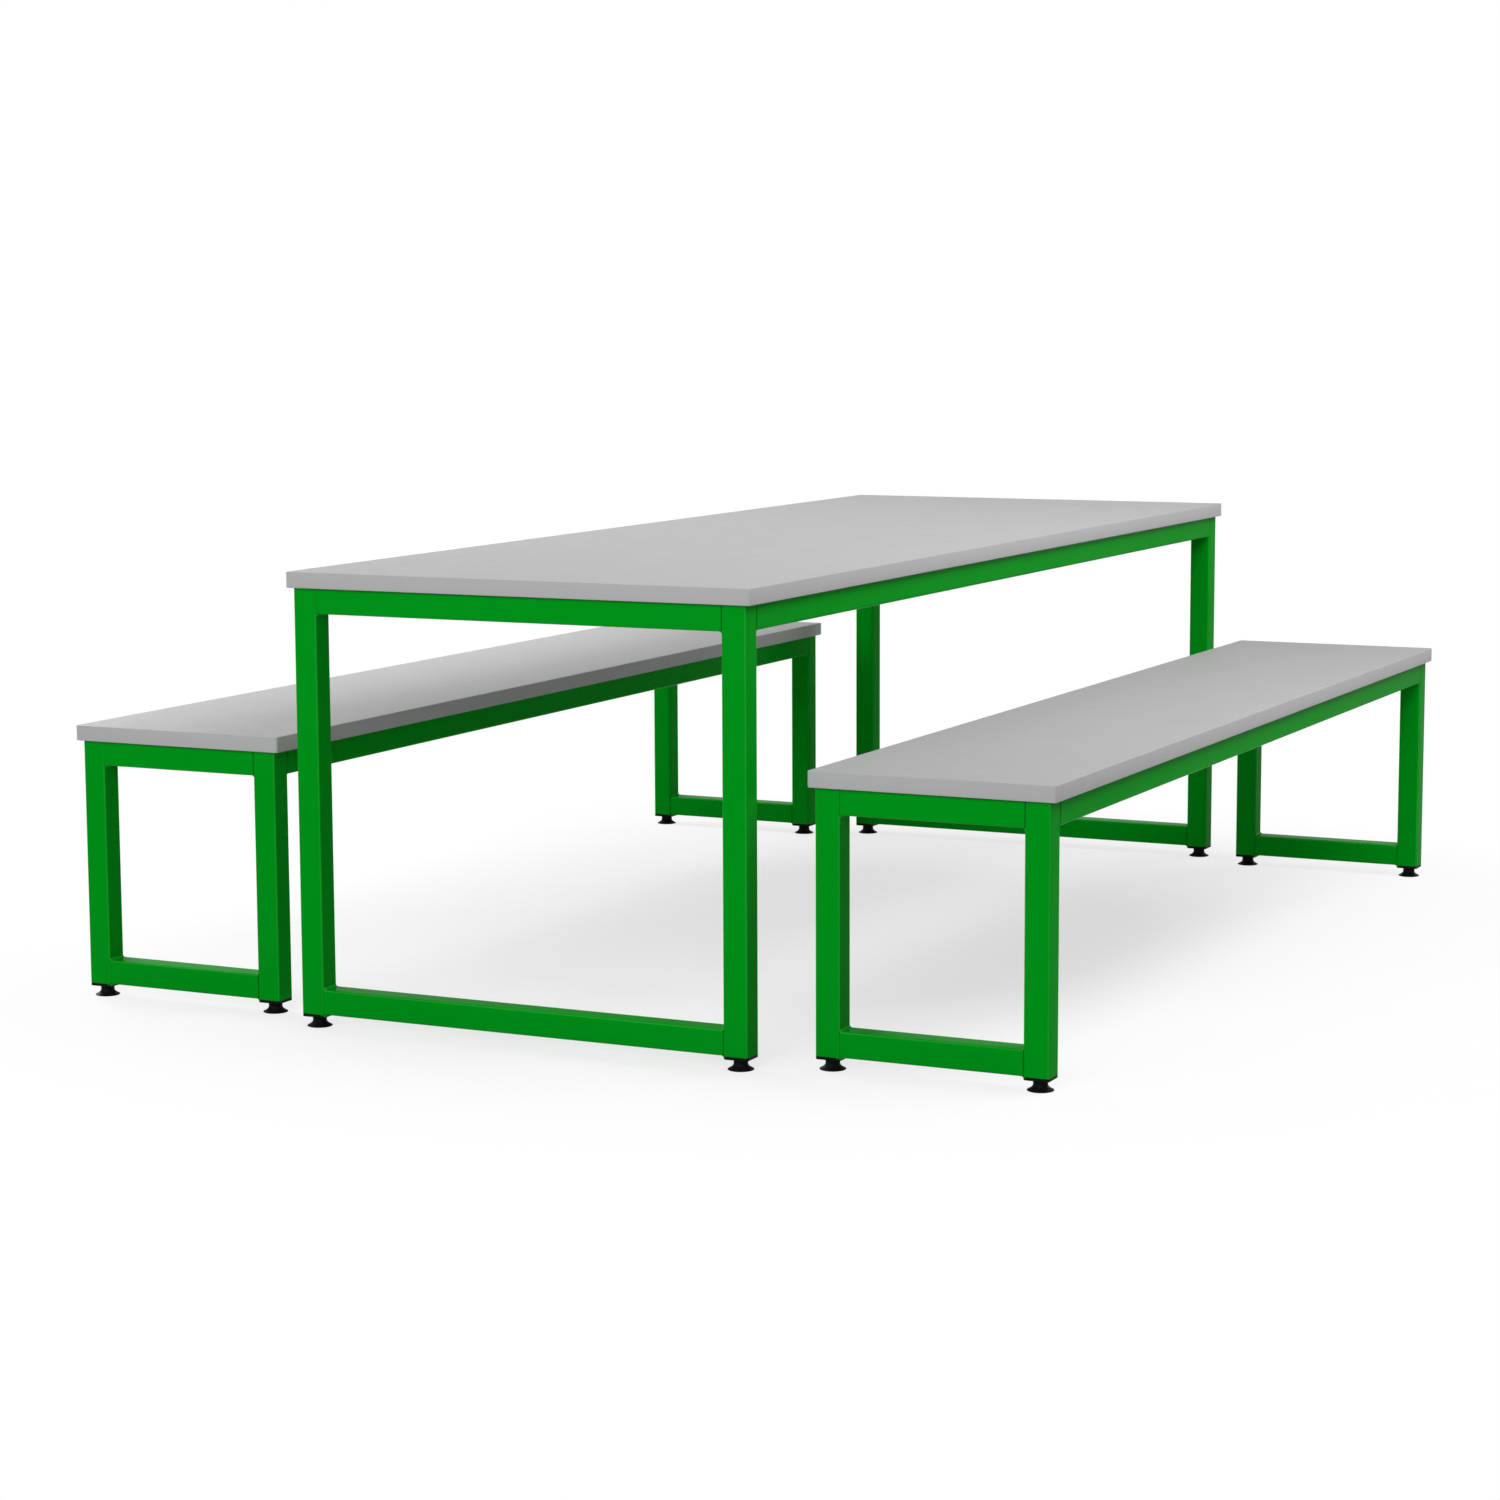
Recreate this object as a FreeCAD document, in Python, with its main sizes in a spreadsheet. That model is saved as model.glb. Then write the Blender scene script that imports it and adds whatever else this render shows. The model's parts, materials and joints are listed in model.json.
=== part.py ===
import FreeCAD, Part
import math
import os
import Sketcher

# Canteen table with two free-standing benches.
# Each of the three units is a board on a welded frame of square tube: two end frames
# (two legs, a top rail and a bottom rail) joined under the board by two side rails.
# X runs along the table, Y across it and Z up. The origin is on the floor, midway
# between the four table legs. "near" is the -X end and "right" is the -Y side.

SIZES = (
    ("table_length", 2200, "table top, outside its edging"),
    ("table_width", 800, "table top, outside its edging"),
    ("table_height", 720, "floor to table top"),
    ("bench_width", 390, "seat, outside its edging"),
    ("bench_height", 450, "floor to seat"),
    ("bench_end_clearance", 14, "seat end to end frame when a bench is under the table"),
    ("bench_gap", 63, "table top to seat, seen from above"),
    ("board_thickness", 25, "faced chipboard"),
    ("edging_thickness", 2, "plastic edging strip"),
    ("board_corner_radius", 4, "corner of the edging, seen from above"),
    ("end_overhang", 6, "board past the frame at each end"),
    ("side_overhang", 10, "board past the frame at each side"),
    ("tube_size", 40, "square tube, outside"),
    ("tube_wall", 2, "square tube"),
    ("tube_corner_radius", 4, "square tube, outside"),
    ("foot_rise", 17, "floor to the underside of the leg insert"),
    ("foot_diameter", 40, "base of the levelling foot"),
    ("foot_rim_height", 1.6, "floor to where the flare meets the rim"),
    ("foot_flare_height", 9.5, "floor to where the flare meets the neck"),
    ("foot_neck_diameter", 22, "neck of the levelling foot"),
    ("stud_diameter", 10, "threaded stud of the foot"),
    ("stud_length", 34, "stud above the neck"),
    ("thread_clearance", 0.1, "stud to threaded bore, on the radius"),
    ("insert_flange", 5, "part of the leg insert below the tube"),
    ("insert_depth", 24, "part of the leg insert inside the tube"),
    ("insert_core", 22, "square core of the leg insert"),
    ("insert_corner", 2.4, "cut across each corner of the flange"),
    ("insert_fit", 0.05, "fin to tube, on each side"),
    ("fin_thickness", 2, "fin of the leg insert"),
    ("fin_first", 4, "tube end to first fin"),
    ("fin_pitch", 8, "fin to fin"),
    ("screw_inset", 150, "leg to first screw along a side rail"),
    ("screw_diameter", 4.8, "board screw"),
    ("screw_length", 20, "board screw, under its head"),
    ("screw_tip", 4, "pointed end of the board screw"),
    ("screw_point", 0.8, "diameter at the very end of the point"),
    ("screw_head_size", 9.2, "hexagonal head, corner to corner"),
    ("screw_head_height", 4, "board screw"),
    ("screw_hole_diameter", 5.6, "hole through a rail's upper wall"),
    ("driver_hole_diameter", 12, "hole through a rail's lower wall"),
    ("pilot_clearance", 0.05, "screw to board, on the radius"),
    ("pilot_extra_depth", 1, "pilot hole past the screw's point"),
)

FIN_COUNT = 3
FLARE_STEPS = 3

# Small round forms are drawn with flat sides, which keeps the meshes of the twelve
# feet, twelve inserts and eighteen screws light.
FOOT_SIDES = 16
BORE_SIDES = 8
SCREW_SIDES = 6

# Unit-wide expressions, each written once in terms of the sheet.
TUBE = "Sizes.tube_size"
BOARD = "Sizes.board_thickness"
LEG_BOTTOM = "(Sizes.foot_rise + Sizes.insert_flange)"
TUBE_BORE = "(Sizes.tube_size - 2 * Sizes.tube_wall)"
BENCH_LENGTH = (
    "(Sizes.table_length - 2 * (Sizes.end_overhang + Sizes.tube_size"
    " + Sizes.bench_end_clearance))"
)
BENCH_CENTRE = "((Sizes.table_width + Sizes.bench_width) / 2 + Sizes.bench_gap)"

UNITS = (
    {
        "name": "table",
        "board": "table_top",
        "length": "Sizes.table_length",
        "width": "Sizes.table_width",
        "height": "Sizes.table_height",
        "centre": "0",
    },
    {
        "name": "right_bench",
        "board": "right_bench_seat",
        "length": BENCH_LENGTH,
        "width": "Sizes.bench_width",
        "height": "Sizes.bench_height",
        "centre": "-" + BENCH_CENTRE,
    },
    {
        "name": "left_bench",
        "board": "left_bench_seat",
        "length": BENCH_LENGTH,
        "width": "Sizes.bench_width",
        "height": "Sizes.bench_height",
        "centre": BENCH_CENTRE,
    },
)

ENDS = (("near", "-"), ("far", ""))
SIDES = (("right", "-"), ("left", ""))

UPRIGHT = FreeCAD.Rotation()
ALONG_X = FreeCAD.Rotation(FreeCAD.Vector(1, 1, 1), 120)
ALONG_Y = FreeCAD.Rotation(
    FreeCAD.Vector(-1, 0, 0), FreeCAD.Vector(0, 0, 1), FreeCAD.Vector(0, 1, 0), "ZXY"
)

doc = FreeCAD.newDocument("canteen_set")
nodes = []


# ---------------------------------------------------------------- sheet

def make_sheet():
    sheet = doc.addObject("Spreadsheet::Sheet", "Sizes")
    for row, (alias, number, note) in enumerate(SIZES, start=1):
        sheet.set("A%d" % row, alias)
        sheet.set("B%d" % row, str(number))
        sheet.setAlias("B%d" % row, alias)
        sheet.set("C%d" % row, note)
    doc.recompute()
    return sheet


SHEET = make_sheet()


def number_of(expression):
    """The present value of an expression, for a sketch's first shape."""
    return float(SHEET.evalExpression(expression))


# ---------------------------------------------------------------- sketches

def new_sketch(body, name, plane, offset=None):
    sketch = body.newObject("Sketcher::SketchObject", body.Name + "_" + name)
    for feature in body.Origin.OriginFeatures:
        if feature.Role == plane:
            sketch.AttachmentSupport = [(feature, "")]
    sketch.MapMode = "FlatFace"
    if offset is not None:
        sketch.setExpression("AttachmentOffset.Base.z", offset)
    return sketch


def bind(sketch, name, expression, kind, *where):
    """Add a dimension and tie it to the sheet."""
    number = number_of(expression)
    index = sketch.addConstraint(Sketcher.Constraint(kind, *where, number))
    sketch.renameConstraint(index, name)
    sketch.setExpression("Constraints." + name, expression)


def pin_point(sketch, name, geometry, point, across, up):
    """Hold a point at (across, up); "0" puts it on the sketch's own axis."""
    for letter, axis, expression in (("X", -2, across), ("Y", -1, up)):
        if expression == "0":
            sketch.addConstraint(Sketcher.Constraint("PointOnObject", geometry, point, axis))
        else:
            place = (-1, 1, geometry, point)
            bind(sketch, name + "_" + letter.lower(), expression, "Distance" + letter, *place)


def rounded_rectangle(sketch, name, width, depth, radius):
    """A centred rectangle with four equal round corners."""
    half_w = number_of(width) / 2
    half_d = number_of(depth) / 2
    corner = number_of(radius)
    flat_w = half_w - corner
    flat_d = half_d - corner
    normal = FreeCAD.Vector(0, 0, 1)
    first = sketch.GeometryCount
    for turn, (sign_x, sign_y) in enumerate(((1, 1), (-1, 1), (-1, -1), (1, -1))):
        centre = FreeCAD.Vector(sign_x * flat_w, sign_y * flat_d, 0)
        start = turn * math.pi / 2
        circle = Part.Circle(centre, normal, corner)
        sketch.addGeometry(Part.ArcOfCircle(circle, start, start + math.pi / 2))
    sides = (
        ((flat_w, half_d), (-flat_w, half_d)),
        ((-half_w, flat_d), (-half_w, -flat_d)),
        ((-flat_w, -half_d), (flat_w, -half_d)),
        ((half_w, -flat_d), (half_w, flat_d)),
    )
    for start, end in sides:
        sketch.addGeometry(Part.LineSegment(FreeCAD.Vector(*start, 0), FreeCAD.Vector(*end, 0)))
    for turn in range(4):
        arc, line = first + turn, first + 4 + turn
        next_arc = first + (turn + 1) % 4
        sketch.addConstraint(Sketcher.Constraint("Tangent", arc, 2, line, 1))
        sketch.addConstraint(Sketcher.Constraint("Tangent", line, 2, next_arc, 1))
        direction = "Horizontal" if turn % 2 == 0 else "Vertical"
        sketch.addConstraint(Sketcher.Constraint(direction, line))
        if turn:
            sketch.addConstraint(Sketcher.Constraint("Equal", first, arc))
    sketch.addConstraint(Sketcher.Constraint("Symmetric", first, 3, first + 2, 3, -1, 1))
    bind(sketch, name + "_radius", radius, "Radius", first)
    bind(sketch, name + "_width", width, "DistanceX", first + 5, 1, first + 7, 1)
    bind(sketch, name + "_depth", depth, "DistanceY", first + 6, 1, first + 4, 1)


def square_outline(width, depth, cut=None):
    """Corner points of a centred rectangle, each corner cut across if cut is given."""
    half_w = width + " / 2"
    half_d = depth + " / 2"
    points = []
    for turn, (sign_x, sign_y) in enumerate((("", ""), ("-", ""), ("-", "-"), ("", "-"))):
        if cut is None:
            points.append((sign_x + half_w, sign_y + half_d))
            continue
        beside = (sign_x + "(%s - %s)" % (half_w, cut), sign_y + half_d)
        below = (sign_x + half_w, sign_y + "(%s - %s)" % (half_d, cut))
        points += [below, beside] if turn % 2 == 0 else [beside, below]
    return points


def outline(sketch, name, points):
    """A closed outline of straight lines through the given (across, up) expressions."""
    corners = [FreeCAD.Vector(number_of(x), number_of(y), 0) for x, y in points]
    count = len(points)
    first = sketch.GeometryCount
    for edge in range(count):
        sketch.addGeometry(Part.LineSegment(corners[edge], corners[(edge + 1) % count]))
    for edge, (across, up) in enumerate(points):
        line = first + edge
        previous = first + (edge - 1) % count
        sketch.addConstraint(Sketcher.Constraint("Coincident", previous, 2, line, 1))
        pin_point(sketch, "%s%d" % (name, edge), line, 1, across, up)


def polygon(sketch, name, across, up, diameter, sides):
    """A regular polygon on a guide circle, its first corner level with the centre."""
    centre = FreeCAD.Vector(number_of(across), number_of(up), 0)
    radius = number_of(diameter) / 2
    guide = sketch.addGeometry(Part.Circle(centre, FreeCAD.Vector(0, 0, 1), radius), True)
    corners = []
    for turn in range(sides):
        angle = 2 * math.pi * turn / sides
        corners.append(centre + FreeCAD.Vector(math.cos(angle), math.sin(angle), 0) * radius)
    first = sketch.GeometryCount
    for turn in range(sides):
        sketch.addGeometry(Part.LineSegment(corners[turn], corners[(turn + 1) % sides]))
    for turn in range(sides):
        line, next_line = first + turn, first + (turn + 1) % sides
        sketch.addConstraint(Sketcher.Constraint("Coincident", line, 2, next_line, 1))
        sketch.addConstraint(Sketcher.Constraint("PointOnObject", line, 1, guide))
        if turn:
            sketch.addConstraint(Sketcher.Constraint("Equal", first, line))
    sketch.addConstraint(Sketcher.Constraint("Horizontal", guide, 3, first, 1))
    pin_point(sketch, name, guide, 3, across, up)
    bind(sketch, name + "_diameter", diameter, "Diameter", guide)


# ---------------------------------------------------------------- features

def new_body(label):
    body = doc.addObject("PartDesign::Body", label)
    body.Label = label
    return body


def pad(body, name, sketch, length, downward=False):
    feature = body.newObject("PartDesign::Pad", body.Name + "_" + name)
    feature.Profile = (sketch, [""])
    feature.setExpression("Length", length)
    feature.Reversed = downward
    return feature


def pocket(body, name, sketch, reverse=False, depth=None):
    """Cut a sketch through everything on one side of it, or to a depth."""
    feature = body.newObject("PartDesign::Pocket", body.Name + "_" + name)
    feature.Profile = (sketch, [""])
    feature.Reversed = reverse
    if depth is None:
        feature.Type = "ThroughAll"
    else:
        feature.setExpression("Length", depth)
    return feature


def prism(name, sides, diameter, height, z="0"):
    solid = doc.addObject("Part::Prism", name)
    solid.Polygon = sides
    solid.setExpression("Circumradius", "%s / 2" % diameter)
    solid.setExpression("Height", height)
    locate(solid, z=z)
    return solid


def stacked(name, sides, sections):
    """A solid through regular polygons, given as (diameter, height) from the bottom up."""
    wires = []
    for number, (diameter, height) in enumerate(sections):
        wire = doc.addObject("Part::RegularPolygon", "%s_section%d" % (name, number))
        wire.Polygon = sides
        wire.setExpression("Circumradius", "(%s) / 2" % diameter)
        locate(wire, z=height)
        wires.append(wire)
    solid = doc.addObject("Part::Loft", name)
    solid.Sections = wires
    solid.Solid = True
    solid.Ruled = True
    solid.Linearize = True
    return solid


def fused(label, base, tool):
    whole = doc.addObject("Part::Fuse", label)
    whole.Label = label
    whole.Base = base
    whole.Tool = tool
    return whole


def locate(thing, rotation=UPRIGHT, x="0", y="0", z="0"):
    thing.Placement = FreeCAD.Placement(FreeCAD.Vector(), rotation)
    for letter, expression in (("x", x), ("y", y), ("z", z)):
        if expression != "0":
            thing.setExpression("Placement.Base." + letter, expression)


def mirrored(source, name, normal):
    copy = doc.addObject("Part::Mirroring", name)
    copy.Source = source
    copy.Normal = normal
    return copy


def at_four_corners(source):
    """A thing and its mirror images across the unit's length and width."""
    other_end = mirrored(source, source.Name + "_other_end", FreeCAD.Vector(1, 0, 0))
    across = FreeCAD.Vector(0, 1, 0)
    copies = [mirrored(thing, thing.Name + "_other_side", across) for thing in (source, other_end)]
    return [source, other_end] + copies


def at_both_sides(source):
    return [source, mirrored(source, source.Name + "_other_side", FreeCAD.Vector(0, 1, 0))]


def group(label, things, unit, z="0"):
    """Like pieces of one unit, kept as separate solids of one node."""
    compound = doc.addObject("Part::Compound", label)
    compound.Label = label
    compound.Links = things
    locate(compound, y=unit["centre"], z=z)
    nodes.append(compound)


# ---------------------------------------------------------------- tube frame

def tube(label, length, rotation, x, y, z, stations=()):
    """A cut length of square tube, with its screw holes where a board sits on it."""
    body = new_body(label)
    section = new_sketch(body, "section", "XY_Plane")
    rounded_rectangle(section, "outside", TUBE, TUBE, "Sizes.tube_corner_radius")
    outline(section, "inside", square_outline(TUBE_BORE, TUBE_BORE))
    pad(body, "wall", section, length)
    if stations:
        upper = ("screw_holes", "Sizes.screw_hole_diameter", False)
        lower = ("driver_holes", "Sizes.driver_hole_diameter", True)
        for name, diameter, reverse in (upper, lower):
            holes = new_sketch(body, name + "_sketch", "XZ_Plane")
            for number, station in enumerate(stations):
                polygon(holes, "hole%d" % number, "0", station, diameter, BORE_SIDES)
            pocket(body, name, holes, reverse)
    locate(body, rotation, x, y, z)
    nodes.append(body)


def frame_places(unit):
    """Lengths and centre lines of one unit's frame."""
    frame_length = "(%s - 2 * Sizes.end_overhang)" % unit["length"]
    frame_width = "(%s - 2 * Sizes.side_overhang)" % unit["width"]
    side_rail = "(%s - 2 * %s)" % (frame_length, TUBE)
    end_rail = "(%s - 2 * %s)" % (frame_width, TUBE)
    return {
        "board_bottom": "(%s - %s)" % (unit["height"], BOARD),
        "side_rail": side_rail,
        "end_rail": end_rail,
        "leg_x": "((%s - %s) / 2)" % (frame_length, TUBE),
        "leg_y": "((%s - %s) / 2)" % (frame_width, TUBE),
        "stations": (
            "Sizes.screw_inset",
            "%s / 2" % side_rail,
            "%s - Sizes.screw_inset" % side_rail,
        ),
    }


def make_frame(unit, place):
    name = unit["name"]
    centre = unit["centre"]
    top_rail_z = "%s - %s / 2" % (place["board_bottom"], TUBE)
    bottom_rail_z = "%s + %s / 2" % (LEG_BOTTOM, TUBE)
    leg_length = "%s - %s" % (place["board_bottom"], LEG_BOTTOM)
    for end, end_sign in ENDS:
        x = end_sign + place["leg_x"]
        for side, side_sign in SIDES:
            y = "%s + %s%s" % (centre, side_sign, place["leg_y"])
            label = "%s_leg_%s_%s" % (name, end, side)
            tube(label, leg_length, UPRIGHT, x, y, LEG_BOTTOM)
        rail_start = "%s - %s / 2" % (centre, place["end_rail"])
        rail = (place["end_rail"], ALONG_Y, x, rail_start)
        tube("%s_%s_top_rail" % (name, end), *rail, top_rail_z)
        tube("%s_%s_bottom_rail" % (name, end), *rail, bottom_rail_z)
    for side, side_sign in SIDES:
        y = "%s + %s%s" % (centre, side_sign, place["leg_y"])
        rail = (place["side_rail"], ALONG_X, "-%s / 2" % place["side_rail"], y)
        tube("%s_%s_side_rail" % (name, side), *rail, top_rail_z, place["stations"])


# ---------------------------------------------------------------- board

def core_size(unit):
    """Length and width of the board inside its edging."""
    edging = " - 2 * Sizes.edging_thickness)"
    return "(" + unit["length"] + edging, "(" + unit["width"] + edging


def make_board(unit, place):
    """The faced board, drilled from below for its screws."""
    body = new_body(unit["board"] + "_board")
    core = new_sketch(body, "core_sketch", "XY_Plane")
    outline(core, "core", square_outline(*core_size(unit)))
    pad(body, "core", core, BOARD)
    pilots = new_sketch(body, "pilot_sketch", "XY_Plane")
    diameter = "Sizes.screw_diameter + 2 * Sizes.pilot_clearance"
    for side, side_sign in SIDES:
        across = side_sign + place["leg_y"]
        for number, station in enumerate(place["stations"]):
            along = "%s - %s / 2" % (station, place["side_rail"])
            along = "0" if abs(number_of(along)) < 1e-9 else along
            polygon(pilots, "%s_pilot%d" % (side, number), along, across, diameter, SCREW_SIDES)
    depth = "Sizes.screw_length - Sizes.tube_wall + Sizes.pilot_extra_depth"
    pocket(body, "pilots", pilots, reverse=True, depth=depth)
    locate(body, y=unit["centre"], z=place["board_bottom"])
    nodes.append(body)


def make_edging(unit, place):
    """Four plastic strips round the board, the long pair covering the short ends."""
    name = unit["board"] + "_edging"
    ring = new_body(name + "_ring")
    section = new_sketch(ring, "section", "XY_Plane")
    rounded_rectangle(section, "rim", unit["length"], unit["width"], "Sizes.board_corner_radius")
    outline(section, "core", square_outline(*core_size(unit)))
    pad(ring, "rim", section, BOARD)
    strips = []
    corner = "Sizes.board_corner_radius"
    short = "%s - 2 * %s" % (unit["width"], corner)
    for end, end_sign in ENDS:
        x = "-%s / 2" % unit["length"] if end_sign else "%s / 2 - %s" % (unit["length"], corner)
        strips.append(cut_strip(ring, end, corner, short, x, "-(%s) / 2" % short))
    for side, side_sign in SIDES:
        strips.append(long_strip(ring, side, side_sign, unit, strips[:2]))
    group(name, strips, unit, place["board_bottom"])


def cut_strip(ring, name, length, width, x, y):
    """The part of the ring inside a box."""
    box = doc.addObject("Part::Box", "%s_%s_box" % (ring.Name, name))
    box.setExpression("Length", length)
    box.setExpression("Width", width)
    box.setExpression("Height", BOARD)
    locate(box, x=x, y=y)
    strip = doc.addObject("Part::Common", "%s_%s" % (ring.Name, name))
    strip.Base = ring
    strip.Tool = box
    return strip


def long_strip(ring, name, sign, unit, short_strips):
    """One side's strip, with the board's two corners on it."""
    half = "%s / 2" % unit["width"]
    y = "-" + half if sign else "0"
    side = cut_strip(ring, name + "_half", unit["length"], half, "-%s / 2" % unit["length"], y)
    for number, short in enumerate(short_strips):
        strip = doc.addObject("Part::Cut", "%s_%s_%d" % (ring.Name, name, number))
        strip.Base = side
        strip.Tool = short
        side = strip
    return side


# ---------------------------------------------------------------- fasteners and feet

def make_screws(unit, place):
    """Board screws: hexagonal heads inside the side rails, points in the board."""
    side_x = "-%s / 2 + Sizes.screw_inset" % place["side_rail"]
    seats = (
        ("outer_screw", side_x, at_four_corners),
        ("middle_screw", "0", at_both_sides),
    )
    sections = (
        ("Sizes.screw_diameter", "0"),
        ("Sizes.screw_diameter", "Sizes.screw_length - Sizes.screw_tip"),
        ("Sizes.screw_point", "Sizes.screw_length"),
    )
    head_height = "Sizes.screw_head_height"
    screws = []
    for seat, x, spread in seats:
        name = "%s_%s" % (unit["name"], seat)
        shank = stacked(name + "_shank", SCREW_SIDES, sections)
        head_size = ("Sizes.screw_head_size", head_height, "-" + head_height)
        head = prism(name + "_head", SCREW_SIDES, *head_size)
        screw = fused(name, shank, head)
        locate(screw, x=x, y="-" + place["leg_y"])
        screws += spread(screw)
    head_seat = "%s - Sizes.tube_wall" % place["board_bottom"]
    group(unit["name"] + "_board_screws", screws, unit, head_seat)


def make_inserts(unit, place):
    """Finned square plugs in the leg ends, each with a threaded bore for a foot."""
    body = new_body(unit["name"] + "_insert")
    flange = new_sketch(body, "flange_sketch", "XY_Plane")
    outline(flange, "flange", square_outline(TUBE, TUBE, "Sizes.insert_corner"))
    pad(body, "flange", flange, "Sizes.insert_flange", downward=True)
    core = new_sketch(body, "core_sketch", "XY_Plane")
    outline(core, "core", square_outline("Sizes.insert_core", "Sizes.insert_core"))
    pad(body, "core", core, "Sizes.insert_depth")
    fin = new_sketch(body, "fin_sketch", "XY_Plane", offset="Sizes.fin_first")
    fin_size = "(%s - 2 * Sizes.insert_fit)" % TUBE_BORE
    outline(fin, "fin", square_outline(fin_size, fin_size))
    first_fin = pad(body, "fin", fin, "Sizes.fin_thickness")
    fins = body.newObject("PartDesign::LinearPattern", body.Name + "_fins")
    fins.Originals = [first_fin]
    upward = [axis for axis in body.Origin.OriginFeatures if axis.Role == "Z_Axis"]
    fins.Direction = (upward[0], [""])
    fins.setExpression("Length", "%d * Sizes.fin_pitch" % (FIN_COUNT - 1))
    fins.Occurrences = FIN_COUNT
    body.Tip = fins
    bore = new_sketch(body, "bore_sketch", "XY_Plane", offset="-Sizes.insert_flange")
    diameter = "Sizes.stud_diameter + 2 * Sizes.thread_clearance"
    polygon(bore, "bore", "0", "0", diameter, BORE_SIDES)
    pocket(body, "bore", bore, reverse=True)
    locate(body, x="-" + place["leg_x"], y="-" + place["leg_y"])
    group(unit["name"] + "_leg_inserts", at_four_corners(body), unit, LEG_BOTTOM)


def foot_sections():
    """Rim, hollow flare and neck. The flare narrows fast at the rim and slowly at the neck."""
    sections = [("Sizes.foot_diameter", "0")]
    flare = "(Sizes.foot_diameter - Sizes.foot_neck_diameter)"
    rise = "(Sizes.foot_flare_height - Sizes.foot_rim_height)"
    for step in range(FLARE_STEPS + 1):
        done = "%d / %d" % (step, FLARE_STEPS)
        diameter = "Sizes.foot_neck_diameter + %s * (1 - %s) ^ 2" % (flare, done)
        sections.append((diameter, "Sizes.foot_rim_height + %s * %s" % (rise, done)))
    sections.append(("Sizes.foot_neck_diameter", "Sizes.foot_rise"))
    return sections


def make_feet(unit, place):
    """Levelling feet: a flared base, a neck against the insert and a stud in it."""
    stud_size = ("Sizes.stud_diameter", "Sizes.stud_length", "Sizes.foot_rise")
    for end, end_sign in ENDS:
        for side, side_sign in SIDES:
            label = "%s_foot_%s_%s" % (unit["name"], end, side)
            base = stacked(label + "_base", FOOT_SIDES, foot_sections())
            stud = prism(label + "_stud", BORE_SIDES, *stud_size)
            foot = fused(label, base, stud)
            y = "%s + %s%s" % (unit["centre"], side_sign, place["leg_y"])
            locate(foot, x=end_sign + place["leg_x"], y=y)
            nodes.append(foot)


# ---------------------------------------------------------------- build and write

def check_document():
    """Stop if any object failed, or any node is empty or not valid."""
    failed = [thing.Name for thing in doc.Objects if {"Invalid", "Error"} & set(thing.State)]
    if failed:
        raise RuntimeError("failed objects: " + ", ".join(failed))
    for node in nodes:
        if node.Shape.isNull() or not node.Shape.isValid() or not node.Shape.Solids:
            raise RuntimeError("bad shape: " + node.Label)


for unit in UNITS:
    unit_places = frame_places(unit)
    make_board(unit, unit_places)
    make_edging(unit, unit_places)
    make_frame(unit, unit_places)
    make_screws(unit, unit_places)
    make_inserts(unit, unit_places)
    make_feet(unit, unit_places)

doc.recompute()
check_document()
os.makedirs("parts", exist_ok=True)
for node in nodes:
    node.Shape.exportStep(os.path.join("parts", node.Label + ".step"))
print(len(nodes), "nodes written")
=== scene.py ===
import json
import math

import bpy
from mathutils import Matrix, Vector


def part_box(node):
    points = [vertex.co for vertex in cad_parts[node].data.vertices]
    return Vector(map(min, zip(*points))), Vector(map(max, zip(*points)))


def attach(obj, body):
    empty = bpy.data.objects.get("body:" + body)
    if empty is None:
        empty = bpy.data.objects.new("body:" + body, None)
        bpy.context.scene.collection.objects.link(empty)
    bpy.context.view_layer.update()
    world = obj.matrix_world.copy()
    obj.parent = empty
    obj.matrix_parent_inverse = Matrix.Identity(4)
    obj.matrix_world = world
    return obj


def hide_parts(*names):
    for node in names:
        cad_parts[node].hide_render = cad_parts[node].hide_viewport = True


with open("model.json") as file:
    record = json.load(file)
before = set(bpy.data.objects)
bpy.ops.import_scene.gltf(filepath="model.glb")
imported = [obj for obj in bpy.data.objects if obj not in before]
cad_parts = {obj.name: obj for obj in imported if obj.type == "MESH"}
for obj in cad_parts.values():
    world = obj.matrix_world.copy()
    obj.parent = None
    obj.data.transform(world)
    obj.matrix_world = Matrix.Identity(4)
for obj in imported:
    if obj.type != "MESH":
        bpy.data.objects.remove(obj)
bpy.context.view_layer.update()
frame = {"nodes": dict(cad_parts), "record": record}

# Canteen table with two free-standing benches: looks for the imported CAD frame.
# Metres, X along the table, Y across it, Z up. "near" is -X and "right" is -Y.

MM = 0.001
UNITS = {"table": "table_top", "right_bench": "right_bench_seat", "left_bench": "left_bench_seat"}
ENDS = ("near", "far")
SIDES = ("right", "left")

TUBE = 40 * MM
TUBE_CORNER = 4 * MM

CORNERS = ((1, 1), (-1, 1), (-1, -1), (1, -1))  # signs of a rectangle's corners, anticlockwise


def add_object(name, data):
    made = bpy.data.objects.new(name, data)
    bpy.context.scene.collection.objects.link(made)
    return made


# ---------------------------------------------------------------- camera

IMAGE_PX = 1500
FOCAL_PX = 3430.33
SENSOR_MM = 36.0
CAMERA_POSITION = (-5.570429, -2.557387, 1.145950)
CAMERA_AZIMUTH, CAMERA_ELEVATION, CAMERA_ROLL = 25.766, -7.591, -0.225  # degrees


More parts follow.
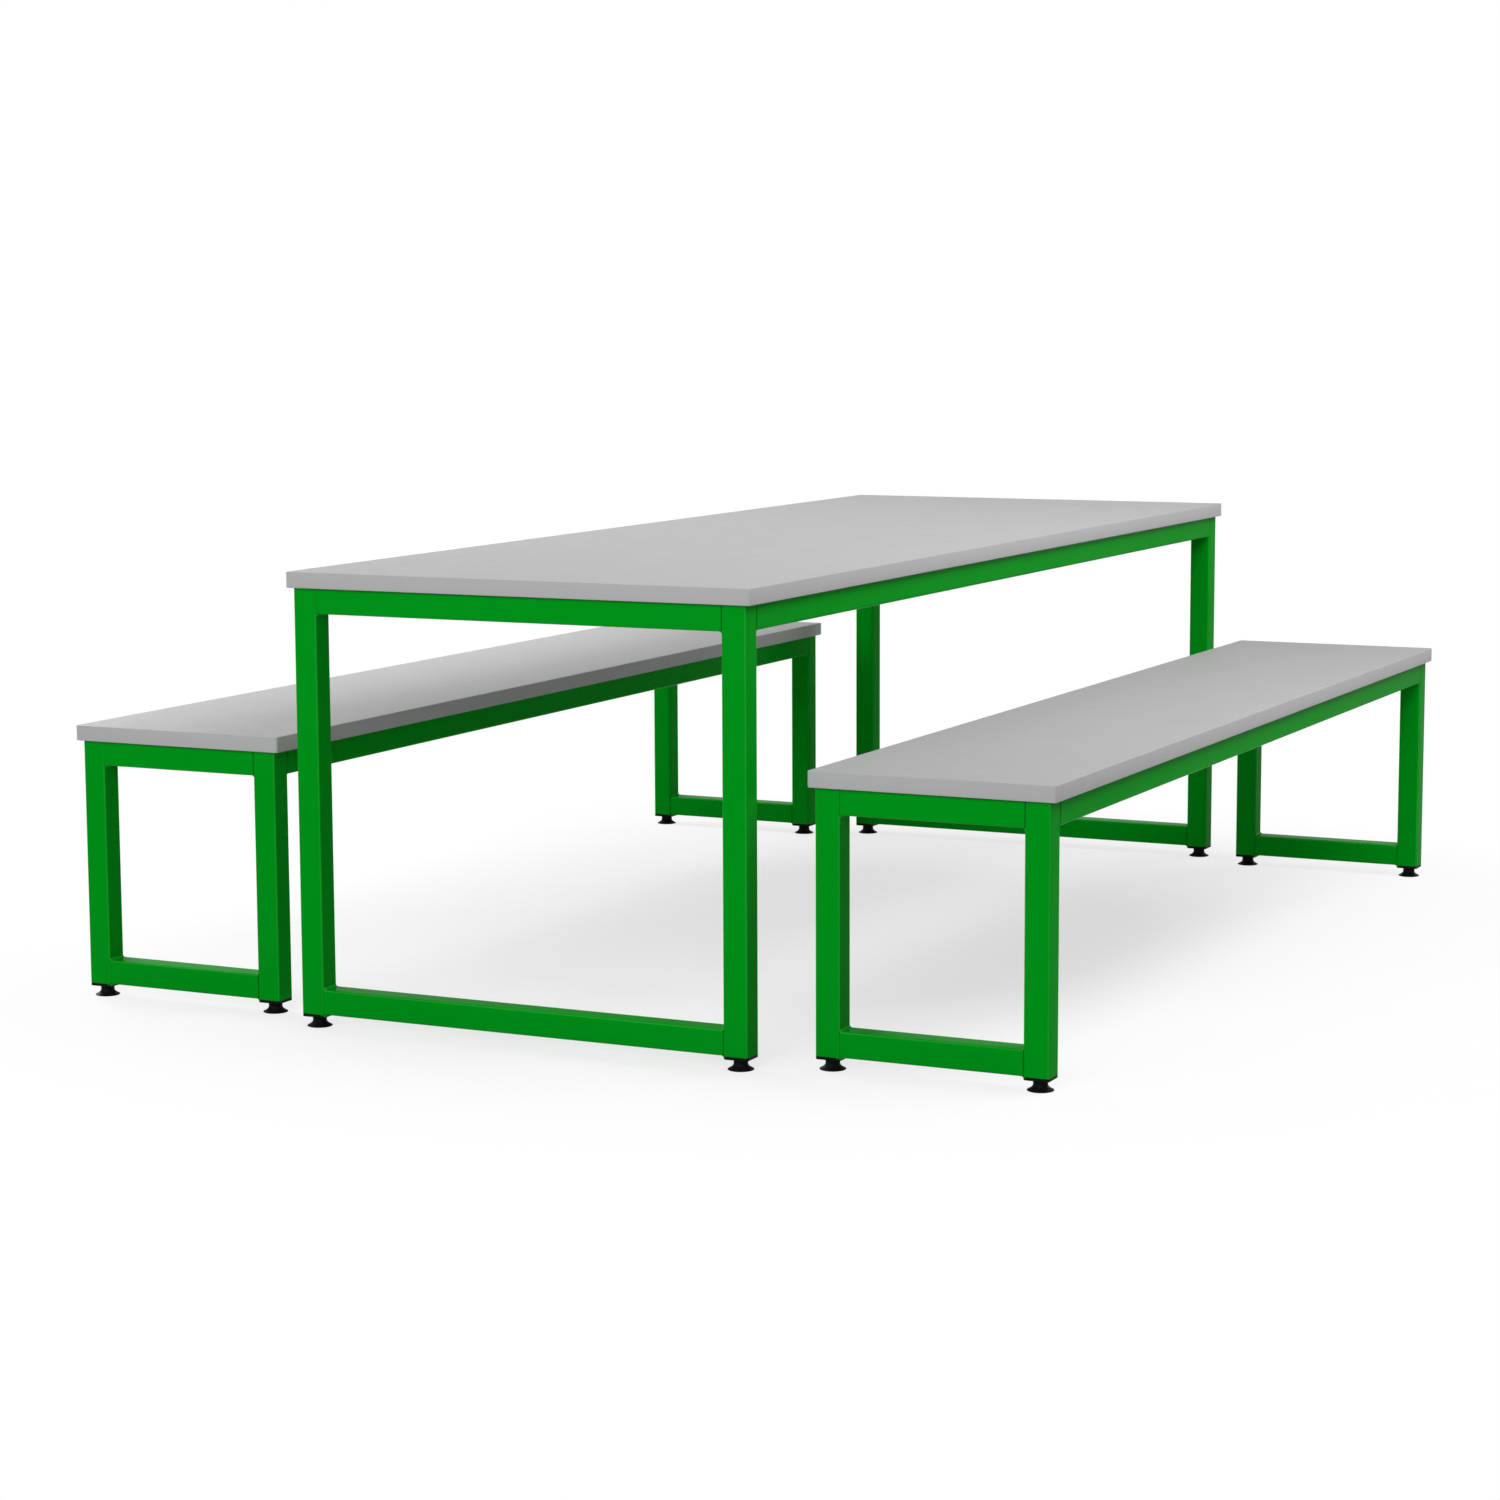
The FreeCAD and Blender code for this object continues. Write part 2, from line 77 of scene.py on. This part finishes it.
def make_camera():
    """The photograph's viewpoint: a long lens, low and off one corner of the table."""
    azimuth = math.radians(CAMERA_AZIMUTH)
    elevation = math.radians(CAMERA_ELEVATION)
    roll = math.radians(CAMERA_ROLL)
    data = bpy.data.cameras.new("camera")
    data.sensor_width = SENSOR_MM
    data.lens = FOCAL_PX / IMAGE_PX * SENSOR_MM
    data.clip_start, data.clip_end = 0.05, 200.0
    level = math.cos(elevation)
    forward = Vector((level * math.cos(azimuth), level * math.sin(azimuth), math.sin(elevation)))
    right = forward.cross(Vector((0, 0, 1))).normalized()
    up = right.cross(forward)
    turned_right = math.cos(roll) * right + math.sin(roll) * up
    turned_up = math.cos(roll) * up - math.sin(roll) * right
    placement = Matrix((turned_right, turned_up, -forward)).transposed().to_4x4()
    placement.translation = Vector(CAMERA_POSITION)
    camera = add_object("camera", data)
    camera.matrix_world = placement
    bpy.context.scene.camera = camera


# ---------------------------------------------------------------- materials

def combine(tree, operation, first, second):
    """The result of a math node that joins two sockets."""
    node = tree.nodes.new("ShaderNodeMath")
    node.operation = operation
    tree.links.new(first, node.inputs[0])
    tree.links.new(second, node.inputs[1])
    return node.outputs["Value"]


class Shading:
    """A node material with short calls for the nodes used here."""

    def __init__(self, name):
        self.material = bpy.data.materials.new(name)
        self.material.use_nodes = True
        self.tree = self.material.node_tree
        self.shader = self.tree.nodes["Principled BSDF"]
        coordinates = self.node("ShaderNodeTexCoord")
        self.place = coordinates.outputs["Object"]
        self.facing = coordinates.outputs["Normal"]

    def node(self, kind, **settings):
        made = self.tree.nodes.new(kind)
        for key, value in settings.items():
            setattr(made, key, value)
        return made

    def link(self, source, target):
        self.tree.links.new(source, target)

    def fixed(self, **sockets):
        """Plain values for the shader's sockets, with _ for a space in their names."""
        for key, value in sockets.items():
            self.shader.inputs[key.replace("_", " ")].default_value = value

    def stretched(self, scale):
        mapping = self.node("ShaderNodeMapping")
        self.link(self.place, mapping.inputs["Vector"])
        mapping.inputs["Scale"].default_value = scale
        return mapping.outputs["Vector"]

    def noise(self, scale, detail=2.0, rough=0.5, place=None):
        texture = self.node("ShaderNodeTexNoise")
        self.link(place or self.place, texture.inputs["Vector"])
        texture.inputs["Scale"].default_value = scale
        texture.inputs["Detail"].default_value = detail
        texture.inputs["Roughness"].default_value = rough
        return texture.outputs["Fac"]

    def cells(self, scale):
        texture = self.node("ShaderNodeTexVoronoi", feature="F1")
        self.link(self.place, texture.inputs["Vector"])
        texture.inputs["Scale"].default_value = scale
        return texture.outputs["Distance"]

    def flatness(self):
        """1 where the surface faces along an axis of the object, and less on round corners."""
        turned = self.node("ShaderNodeVectorMath", operation="ABSOLUTE")
        self.link(self.facing, turned.inputs[0])
        parts = self.node("ShaderNodeSeparateXYZ")
        self.link(turned.outputs["Vector"], parts.inputs["Vector"])
        largest = combine(self.tree, "MAXIMUM", parts.outputs["X"], parts.outputs["Y"])
        return combine(self.tree, "MAXIMUM", largest, parts.outputs["Z"])

    def spread(self, source, low, high, start=0.3, end=0.7):
        """The source's start to end range stretched to low to high."""
        ranges = self.node("ShaderNodeMapRange")
        self.link(source, ranges.inputs["Value"])
        ranges.inputs["From Min"].default_value = start
        ranges.inputs["From Max"].default_value = end
        ranges.inputs["To Min"].default_value = low
        ranges.inputs["To Max"].default_value = high
        return ranges.outputs["Result"]

    def ramp(self, source, *stops):
        """A colour ramp through (position, (red, green, blue)) stops."""
        ramp = self.node("ShaderNodeValToRGB")
        self.link(source, ramp.inputs["Fac"])
        elements = ramp.color_ramp.elements
        while len(elements) < len(stops):
            elements.new(0.5)
        for element, (position, colour) in zip(elements, stops):
            element.position = position
            element.color = (*colour, 1.0)
        return ramp.outputs["Color"]

    def colour(self, source):
        self.link(source, self.shader.inputs["Base Color"])

    def roughness(self, source):
        self.link(source, self.shader.inputs["Roughness"])

    def bumps(self, *layers):
        """Bump nodes in a chain, each layer (height, strength, depth in metres)."""
        below = None
        for height, strength, depth in layers:
            bump = self.node("ShaderNodeBump")
            bump.inputs["Strength"].default_value = strength
            bump.inputs["Distance"].default_value = depth
            self.link(height, bump.inputs["Height"])
            if below is not None:
                self.link(below, bump.inputs["Normal"])
            below = bump.outputs["Normal"]
        self.link(below, self.shader.inputs["Normal"])


def powder_coat():
    """Bright green powder coat with a faint orange peel, a painted highlight on the tubes' round
    corners and painted shade in the bottom of the seams beside the welds."""
    look = Shading("green_powder_coat")
    patches = look.spread(look.noise(7.0, detail=3.0), 0.2, 0.4)
    # painted highlight: paler green on the tubes' round corners, where the surface turns from the
    # object's axes
    corners = look.spread(look.flatness(), 0.6, 0.0, start=0.75, end=0.97)
    # painted shade: dark green along the bottom of the weld seams, read from the welds' seam
    # attribute
    painted_seam_shade = look.node("ShaderNodeAttribute", attribute_name="seam").outputs["Fac"]
    patches_and_painted_light = combine(look.tree, "SUBTRACT", combine(look.tree, "ADD", patches, corners), painted_seam_shade)
    painted_seam_green, low_green = (0.0, 0.07, 0.002), (0.0, 0.276, 0.0095)
    high_green, corner_highlight_green = (0.0, 0.286, 0.0105), (0.02, 0.37, 0.03)
    look.colour(look.ramp(patches_and_painted_light, (0.0, painted_seam_green), (0.2, low_green),
                          (0.4, high_green), (1.0, corner_highlight_green)))
    look.roughness(look.spread(look.noise(25.0, detail=1.0), 0.18, 0.20))
    look.bumps((look.noise(420.0, detail=1.0), 0.02, 0.04 * MM))
    look.fixed(Specular_IOR_Level=0.004)
    return look.material


def laminate():
    """Light grey melamine facing: a fine pearl texture over a faint fibrous mottle."""
    look = Shading("grey_laminate")
    mottle = look.noise(90.0, detail=5.0, rough=0.65)
    look.colour(look.ramp(mottle, (0.3, (0.408, 0.408, 0.408)), (0.7, (0.428, 0.428, 0.428))))
    look.roughness(look.spread(look.noise(14.0, detail=4.0), 0.54, 0.62))
    look.fixed(Specular_IOR_Level=0.04)
    pearl, grain = look.noise(700.0, detail=3.0), look.cells(1600.0)
    look.bumps((pearl, 0.12, 0.2 * MM), (grain, 0.06, 0.1 * MM))
    return look.material


def edging():
    """Grey plastic edging with the faint lines of its extrusion running round the board."""
    look = Shading("grey_edging")
    lines = look.noise(1.0, detail=3.0, place=look.stretched((4.0, 4.0, 1600.0)))
    look.colour(look.ramp(lines, (0.3, (0.40, 0.40, 0.405)), (0.7, (0.425, 0.425, 0.43))))
    look.roughness(look.spread(lines, 0.44, 0.52))
    look.fixed(Specular_IOR_Level=0.05)
    look.bumps((lines, 0.10, 0.1 * MM), (look.noise(900.0), 0.05, 0.1 * MM))
    return look.material


def black_nylon():
    """Moulded black nylon: spark-eroded texture and slightly greyer scuffs."""
    look = Shading("black_nylon")
    scuff = look.noise(160.0, detail=5.0, rough=0.7)
    look.colour(look.ramp(scuff, (0.35, (0.004, 0.004, 0.004)), (0.8, (0.008, 0.008, 0.008))))
    look.roughness(look.spread(scuff, 0.42, 0.58))
    look.bumps((look.cells(1400.0), 0.15, 0.1 * MM), (look.noise(2600.0), 0.08, 0.1 * MM))
    look.fixed(Specular_IOR_Level=0.04)
    return look.material


def zinc():
    """Zinc plate: bright, with soft clouding of the passivation."""
    look = Shading("zinc_plate")
    clouds = look.noise(260.0, detail=4.0)
    look.colour(look.ramp(clouds, (0.3, (0.50, 0.51, 0.53)), (0.7, (0.60, 0.59, 0.56))))
    look.roughness(look.spread(clouds, 0.24, 0.40))
    look.bumps((look.noise(1500.0), 0.08, 0.1 * MM))
    look.fixed(Metallic=1.0)
    return look.material


# ---------------------------------------------------------------- stage

SKY_LIGHT = 0.22            # strength of the white background as a light; it is seen at 1
FLOOR_LIGHT = 0.6           # share of the floor's paleness in the light that it gives back
FLOOR_REACH = 60.0
FLOOR_DROP = 0.2 * MM       # keeps the floor clear of the feet's undersides
FADE_START, FADE_END = 0.6, 1.7     # distances between which the floor fades to white
FADE_LOW, FADE_HIGH = 0.50, 1.0     # the share of white at them

LIGHT_TARGET = (0.0, 0.0, 0.5)
LIGHTS = (  # name, diameter, watts, position
    ("front", 4.0, 203.0, (-6.5, -1.5, 4.2)),
    ("front_left", 2.0, 62.0, (-5.5, 0.8, 1.9)),
    ("right", 2.0, 54.0, (0.0, -2.0, 2.6)),
    ("left", 1.8, 78.0, (0.4, 2.7, 1.7)),
    ("far_end", 2.5, 60.0, (5.0, -2.5, 1.6)),
)


def place_light(name, diameter, power, position):
    data = bpy.data.lights.new(name, "AREA")
    data.shape = "DISK"
    data.size = diameter
    data.energy = power
    light = add_object(name, data)
    light.location = Vector(position)
    aim = Vector(LIGHT_TARGET) - light.location
    light.rotation_mode = "QUATERNION"
    light.rotation_quaternion = aim.to_track_quat("-Z", "Y")
    light.visible_camera = False


def seen_ray(tree):
    """1 for camera, glossy and transmission rays, which show the background, and 0 for others."""
    path = tree.nodes.new("ShaderNodeLightPath")
    seen = combine(tree, "MAXIMUM", path.outputs["Is Camera Ray"], path.outputs["Is Glossy Ray"])
    return combine(tree, "MAXIMUM", seen, path.outputs["Is Transmission Ray"])


def make_world():
    world = bpy.data.worlds.new("studio")
    bpy.context.scene.world = world
    world.use_nodes = True
    tree = world.node_tree
    background = tree.nodes["Background"]
    background.inputs["Color"].default_value = (1.0, 1.0, 1.0, 1.0)
    strength = tree.nodes.new("ShaderNodeMapRange")
    strength.inputs["To Min"].default_value = SKY_LIGHT
    strength.inputs["To Max"].default_value = 1.0
    tree.links.new(seen_ray(tree), strength.inputs["Value"])
    tree.links.new(strength.outputs["Result"], background.inputs["Strength"])


def make_floor():
    """A plain pale floor, white in the background, that keeps a soft shadow near the object."""
    mesh = bpy.data.meshes.new("floor")
    corners = [(FLOOR_REACH * -x, FLOOR_REACH * -y, 0) for x, y in CORNERS]
    mesh.from_pydata(corners, [], [(0, 1, 2, 3)])
    floor = add_object("floor", mesh)
    floor.location.z = -FLOOR_DROP
    look = Shading("pale_floor")
    look.fixed(Roughness=0.9, Specular_IOR_Level=0.0)
    seen = seen_ray(look.tree)
    mottle = look.spread(look.noise(2.5, detail=3.0), 0.86, 0.88)
    share = look.spread(seen, FLOOR_LIGHT, 1.0, start=0.0, end=1.0)
    look.colour(combine(look.tree, "MULTIPLY", mottle, share))
    distance = look.node("ShaderNodeVectorMath", operation="LENGTH")
    look.link(look.place, distance.inputs[0])
    fade = look.spread(distance.outputs["Value"], FADE_LOW, FADE_HIGH, FADE_START, FADE_END)
    glow = look.node("ShaderNodeEmission")
    mix = look.node("ShaderNodeMixShader")
    look.link(combine(look.tree, "MULTIPLY", seen, fade), mix.inputs["Fac"])
    look.link(look.shader.outputs["BSDF"], mix.inputs[1])
    look.link(glow.outputs["Emission"], mix.inputs[2])
    look.link(mix.outputs["Shader"], look.tree.nodes["Material Output"].inputs["Surface"])
    mesh.materials.append(look.material)


bpy.context.scene.view_settings.view_transform = "Standard"
make_camera()
make_world()
make_floor()
for light in LIGHTS:
    place_light(*light)

FINISH = {
    "green_frame": powder_coat(), "laminate": laminate(), "edging": edging(),
    "black_plastic": black_nylon(), "zinc_steel": zinc(),
}
for part in frame["record"]["subparts"]:
    for material_slot in frame["nodes"][part["node"]].material_slots:
        material_slot.material = FINISH[part["material_slot"]]


# ---------------------------------------------------------------- mesh helpers

RING_STEPS = 64


def new_piece(name, points, faces, material, sharp_degrees=30.0):
    """A shown piece from mesh data, smooth except across edges sharper than the angle."""
    mesh = bpy.data.meshes.new(name)
    mesh.from_pydata([tuple(p) for p in points], [], faces)
    mesh.validate()
    mesh.shade_smooth()
    mesh.set_sharp_from_angle(angle=math.radians(sharp_degrees))
    mesh.materials.append(material)
    return add_object(name, mesh)


def skin(loops, last_closed=False, start=0):
    """Points and faces between closed loops of equal length, the points' indices from start."""
    count = len(loops[0])
    points = [point for loop in loops for point in loop]
    faces = []
    for row in range(len(loops) - 1):
        low = start + row * count
        for turn in range(count):
            after = (turn + 1) % count
            faces.append((low + turn, low + after, low + count + after, low + count + turn))
    if last_closed:
        faces.append(tuple(start + (len(loops) - 1) * count + turn for turn in range(count)))
    return points, faces


def ring(radius, z, shift=0.0):
    """Points of a circle, turned by shift of a step."""
    angles = [2 * math.pi * (turn + shift) / RING_STEPS for turn in range(RING_STEPS)]
    return [(radius * math.cos(angle), radius * math.sin(angle), z) for angle in angles]


def in_metres(loops):
    return [[(x * MM, y * MM, z * MM) for x, y, z in loop] for loop in loops]


# ---------------------------------------------------------------- board edging

EDGING_THICKNESS = 2 * MM
EDGING_ROUNDING = 1.0 * MM
ROUNDING_STEPS = 4
BOARD_CORNER = 4 * MM
BOARD_CORNER_STEPS = 8


def rim_outline(length, width, radius):
    """Points round a centred rounded rectangle; radius 0 keeps the same number of points."""
    points = []
    for turn, (sign_x, sign_y) in enumerate(CORNERS):
        centre_x = sign_x * (length / 2 - radius)
        centre_y = sign_y * (width / 2 - radius)
        for step in range(BOARD_CORNER_STEPS + 1):
            angle = math.pi / 2 * (turn + step / BOARD_CORNER_STEPS)
            x, y = centre_x + radius * math.cos(angle), centre_y + radius * math.sin(angle)
            points.append((x, y))
    return points


def make_edging(unit, board):
    """The plastic edging, flush with both faces and rounded along its two long edges."""
    low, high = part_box(board + "_edging")
    length, width = high.x - low.x, high.y - low.y
    middle = (low + high) / 2
    angles = [math.pi / 2 * step / ROUNDING_STEPS for step in range(ROUNDING_STEPS + 1)]
    falling = [EDGING_ROUNDING * (1 - math.sin(angle)) for angle in angles]
    rising = [EDGING_ROUNDING * (1 - math.cos(angle)) for angle in angles]
    section = [(EDGING_THICKNESS, high.z)]
    section += [(inset, high.z - down) for inset, down in zip(falling, rising)]
    section += [(inset, low.z + up) for inset, up in zip(rising, falling)]
    section.append((EDGING_THICKNESS, low.z))
    loops = []
    for inset, z in section:
        radius = 0.0 if inset == EDGING_THICKNESS else BOARD_CORNER - inset
        outline = rim_outline(length - 2 * inset, width - 2 * inset, radius)
        loops.append([(x + middle.x, y + middle.y, z) for x, y in outline])
    points, faces = skin(loops)
    piece = new_piece(board + "_edging_rounded", points, faces, FINISH["edging"])
    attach(piece, unit)
    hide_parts(board + "_edging")


# ---------------------------------------------------------------- levelling feet
# Feet and leg inserts are drawn in millimetres, with heights from a foot's underside.

NECK_TOP = 17.0
NECK_RADIUS = 11.0
STUD_TOP = 51.0
STUD_RADIUS = 4.95
STUD_CHAMFER = 1.2
STUD_STEPS = 32
THREAD_PITCH = 1.5
THREAD_DEPTH = 0.9
THREAD_SLOPE = 2.6          # of a flank, in depths a pitch
THREAD_ROWS = 8             # rings in a pitch
MOULDED_SHARP = 35.0        # degrees


def foot_profile():
    """(radius, height) from the middle of the hollow underside to the neck's top."""
    profile = [(0.01, 0.9), (9.0, 0.9), (9.8, 0.1), (10.4, 0.0), (19.2, 0.0)]
    profile += [(19.75, 0.2), (20.0, 0.6), (19.9, 1.1), (19.5, 1.45)]
    rim_radius, rim_top = profile[-1]
    flare_top, flare_steps = 9.5, 10
    for step in range(1, flare_steps + 1):
        done = step / flare_steps
        flare = (rim_radius - NECK_RADIUS) * (1 - done) ** 2
        profile.append((NECK_RADIUS + flare, rim_top + (flare_top - rim_top) * done))
    profile += [(NECK_RADIUS, 16.2), (10.8, 16.7), (10.3, NECK_TOP), (5.6, NECK_TOP)]
    return profile


def stud_loops():
    """The foot's M10 thread, as rings whose radius follows the helix."""
    length = STUD_TOP - NECK_TOP
    rows = int(length / THREAD_PITCH * THREAD_ROWS)
    loops = []
    for row in range(rows + 1):
        z = NECK_TOP + length * row / rows
        loop = []
        for turn in range(STUD_STEPS):
            angle = 2 * math.pi * turn / STUD_STEPS
            phase = (z / THREAD_PITCH - turn / STUD_STEPS) % 1.0
            height = min(1.0, abs(phase - 0.5) * THREAD_SLOPE)
            radius = STUD_RADIUS - THREAD_DEPTH * (1 - height)
            radius -= max(0.0, z - (STUD_TOP - STUD_CHAMFER))
            loop.append((radius * math.cos(angle), radius * math.sin(angle), z))
        loops.append(loop)
    return loops


def foot_mesh():
    points, faces = skin(in_metres([ring(radius, z) for radius, z in foot_profile()]))
    stud_points, stud_faces = skin(in_metres(stud_loops()), last_closed=True, start=len(points))
    return points + stud_points, faces + stud_faces


def make_feet():
    """Twelve feet that share one mesh."""
    mesh = None
    for unit in UNITS:
        for end in ENDS:
            for side in SIDES:
                node = "%s_foot_%s_%s" % (unit, end, side)
                name = node + "_detailed"
                if mesh is None:
                    piece = new_piece(name, *foot_mesh(), FINISH["black_plastic"], MOULDED_SHARP)
                    mesh = piece.data
                else:
                    piece = add_object(name, mesh)
                low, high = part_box(node)
                piece.location = ((low.x + high.x) / 2, (low.y + high.y) / 2, low.z)
                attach(piece, node)
                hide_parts(node)


# ---------------------------------------------------------------- leg inserts

LEG_BOTTOM = 22.0
INSERT_TOP = 46.0
BORE_RADIUS = 5.1
FIN_COUNT = 3
FIN_START = 26.0
FIN_PITCH = 8.0
HALF_STEP = 0.5             # of a ring, by which the inserts' rings are turned


def squared_ring(half, radius, z):
    """Points of a rounded square at the polar angles of a ring turned by half a step."""
    flat = half - radius
    points = []
    for turn in range(RING_STEPS):
        angle = 2 * math.pi * (turn + HALF_STEP) / RING_STEPS
        across, up = math.cos(angle), math.sin(angle)
        reach = half / max(abs(across), abs(up))
        x, y = reach * across, reach * up
        if abs(x) > flat and abs(y) > flat:
            along = flat * (abs(across) + abs(up))
            rest = along * along - 2 * flat * flat + radius * radius
            reach = along + math.sqrt(max(rest, 0.0))
            x, y = reach * across, reach * up
        points.append((x, y, z))
    return points


def insert_loops():
    """From the bore's top down through the mouth, round the flange and up the fins."""
    bore = [(BORE_RADIUS, INSERT_TOP), (BORE_RADIUS, 17.8), (5.9, NECK_TOP)]
    core = (11.0, 1.5)
    flange = [(19.5, 3.5, NECK_TOP), (19.85, 3.85, 17.15), (20.0, 4.0, 17.5)]
    flange += [(20.0, 4.0, LEG_BOTTOM), (*core, LEG_BOTTOM)]
    fins = []
    for fin in range(FIN_COUNT):
        z = FIN_START + FIN_PITCH * fin
        fins += [(*core, z), (17.6, 1.5, z), (17.95, 1.8, z + 1.0), (17.4, 1.4, z + 2.0)]
        fins += [(*core, z + 2.0)]
    top = [(*core, 45.4), (10.4, 1.2, INSERT_TOP)]
    loops = [ring(radius, z, HALF_STEP) for radius, z in bore]
    loops += [squared_ring(half, radius, z) for half, radius, z in flange + fins + top]
    loops += [ring(BORE_RADIUS, INSERT_TOP, HALF_STEP)]
    return in_metres(loops)


def make_inserts(unit):
    points, faces = [], []
    for end in ENDS:
        for side in SIDES:
            low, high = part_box("%s_leg_%s_%s" % (unit, end, side))
            x, y = (low.x + high.x) / 2, (low.y + high.y) / 2
            loops = [[(px + x, py + y, pz) for px, py, pz in loop] for loop in insert_loops()]
            more_points, more_faces = skin(loops, start=len(points))
            points += more_points
            faces += more_faces
    name = unit + "_leg_inserts_detailed"
    piece = new_piece(name, points, faces, FINISH["black_plastic"], MOULDED_SHARP)
    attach(piece, unit)
    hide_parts(unit + "_leg_inserts")


# ---------------------------------------------------------------- welds
# On two sides of a rail's end, where it lies flush with the leg, the weld is a seam in the
# valley of the leg's round corner. On the other two sides it is a fillet.

FILLET_REACH = 5.0 * MM     # along the leg and along the rail
FILLET_HOLLOW = 0.4 * MM    # how far the curve's middle handle lies out of the corner
FILLET_DIP = 0.6 * MM
SEAM_ON_LEG = 5.0 * MM      # past the leg's face
SEAM_ON_RAIL = 1.2 * MM
SEAM_DIP = 2.2 * MM
EDGE_SUNK = 0.25 * MM       # of a weld's edges, below the tubes' faces
SEAM_PAINTED_SHADE = (0.0, 0.0, 0.35, 1.0, 0.35, 0.0, 0.0)  # painted shade across a seam, from the rail to the leg
CURVE_STEPS = len(SEAM_PAINTED_SHADE) - 1
WELD_CORNER_STEPS = 6
WELD_SIDE_STEPS = 12
WELD_SHARP = 60.0           # degrees


def leg_depth(across):
    """How far the leg's face lies behind its flat at a distance across it."""
    past = abs(across) - (TUBE / 2 - TUBE_CORNER)
    if past <= 0:
        return 0.0
    past = min(past, TUBE_CORNER)
    return TUBE_CORNER - math.sqrt(TUBE_CORNER ** 2 - past ** 2)


def weld_stations():
    """Round a rail's outline: a point set in from it by its corners' radius, and the way out."""
    flat = TUBE / 2 - TUBE_CORNER
    stations = []
    for turn, (sign_v, sign_w) in enumerate(CORNERS):
        for step in range(WELD_CORNER_STEPS + 1):
            angle = math.pi / 2 * (turn + step / WELD_CORNER_STEPS)
            stations.append((sign_v * flat, sign_w * flat, math.cos(angle), math.sin(angle)))
        next_angle = math.pi / 2 * (turn + 1)
        outward = (math.cos(next_angle), math.sin(next_angle))
        next_v, next_w = CORNERS[(turn + 1) % len(CORNERS)]
        for step in range(1, WELD_SIDE_STEPS):
            done = step / WELD_SIDE_STEPS
            v = flat * (sign_v + (next_v - sign_v) * done)
            w = flat * (sign_w + (next_w - sign_w) * done)
            stations.append((v, w, *outward))
    return stations


def weld_loops():
    """One weld round a rail's end, in (out of the leg, across, along the leg) axes, and the
    painted shade in the bottom of its seams at each point."""
    times = [step / CURVE_STEPS for step in range(CURVE_STEPS + 1)]
    loops, painted_shades = [], []
    for v, w, out_v, out_w in weld_stations():
        fillet = out_w * out_w
        seam = 1 - fillet
        surface_v, surface_w = v + TUBE_CORNER * out_v, w + TUBE_CORNER * out_w
        reach = FILLET_REACH * fillet
        foot_v, foot_w = surface_v + reach * out_v, surface_w + reach * out_w
        foot_u = -leg_depth(foot_v) - (SEAM_ON_LEG - TUBE_CORNER) * seam - EDGE_SUNK * fillet
        start = Vector((reach + SEAM_ON_RAIL * seam,
                        surface_v - EDGE_SUNK * out_v, surface_w - EDGE_SUNK * out_w))
        end = Vector((foot_u, foot_v - EDGE_SUNK * out_v * seam, foot_w))
        dip = SEAM_DIP * seam + FILLET_DIP * fillet
        rise = FILLET_HOLLOW if fillet > 0.5 else -dip
        middle = Vector(((start.x + end.x) / 2 * seam + FILLET_HOLLOW * fillet,
                         surface_v - dip * out_v, surface_w + rise * out_w))
        loops.append([start * (1 - t) ** 2 + middle * 2 * t * (1 - t) + end * t ** 2
                      for t in times])
        painted_shades.append([seam * share for share in SEAM_PAINTED_SHADE])
    return loops, painted_shades


def add_weld(points, faces, painted_shades, joint, out, across, along):
    """A weld at a rail's end: joint is the middle of its end face."""
    loops, loop_painted_shades = weld_loops()
    count = len(loops[0])
    first = len(points)
    for loop, loop_painted_shade in zip(loops, loop_painted_shades):
        painted_shades += loop_painted_shade
        for u, v, w in loop:
            points.append(joint + out * u + across * v + along * w)
    flip = out.cross(across).dot(along) < 0
    for row in range(len(loops)):
        after = (row + 1) % len(loops)
        for step in range(count - 1):
            a, b = first + row * count + step, first + after * count + step
            face = (a, b, b + 1, a + 1)
            faces.append(tuple(reversed(face)) if flip else face)


def make_welds(unit):
    points, faces, painted_shades = [], [], []
    x_axis, y_axis, z_axis = Vector((1, 0, 0)), Vector((0, 1, 0)), Vector((0, 0, 1))
    for end in ENDS:
        for rail in ("top_rail", "bottom_rail"):
            low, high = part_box("%s_%s_%s" % (unit, end, rail))
            middle = (low + high) / 2
            for y, out in ((low.y, y_axis), (high.y, -y_axis)):
                joint = Vector((middle.x, y, middle.z))
                add_weld(points, faces, painted_shades, joint, out, x_axis, z_axis)
    for side in SIDES:
        low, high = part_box("%s_%s_side_rail" % (unit, side))
        middle = (low + high) / 2
        for x, out in ((low.x, x_axis), (high.x, -x_axis)):
            joint = Vector((x, middle.y, middle.z))
            add_weld(points, faces, painted_shades, joint, out, y_axis, z_axis)
    piece = new_piece(unit + "_welds", points, faces, FINISH["green_frame"], WELD_SHARP)
    # the seam attribute carries the painted shade of the seams' valleys to the powder coat
    piece.data.attributes.new("seam", "FLOAT", "POINT").data.foreach_set("value", painted_shades)
    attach(piece, unit)


for unit, board in UNITS.items():
    make_edging(unit, board)
    make_inserts(unit)
    make_welds(unit)
make_feet()
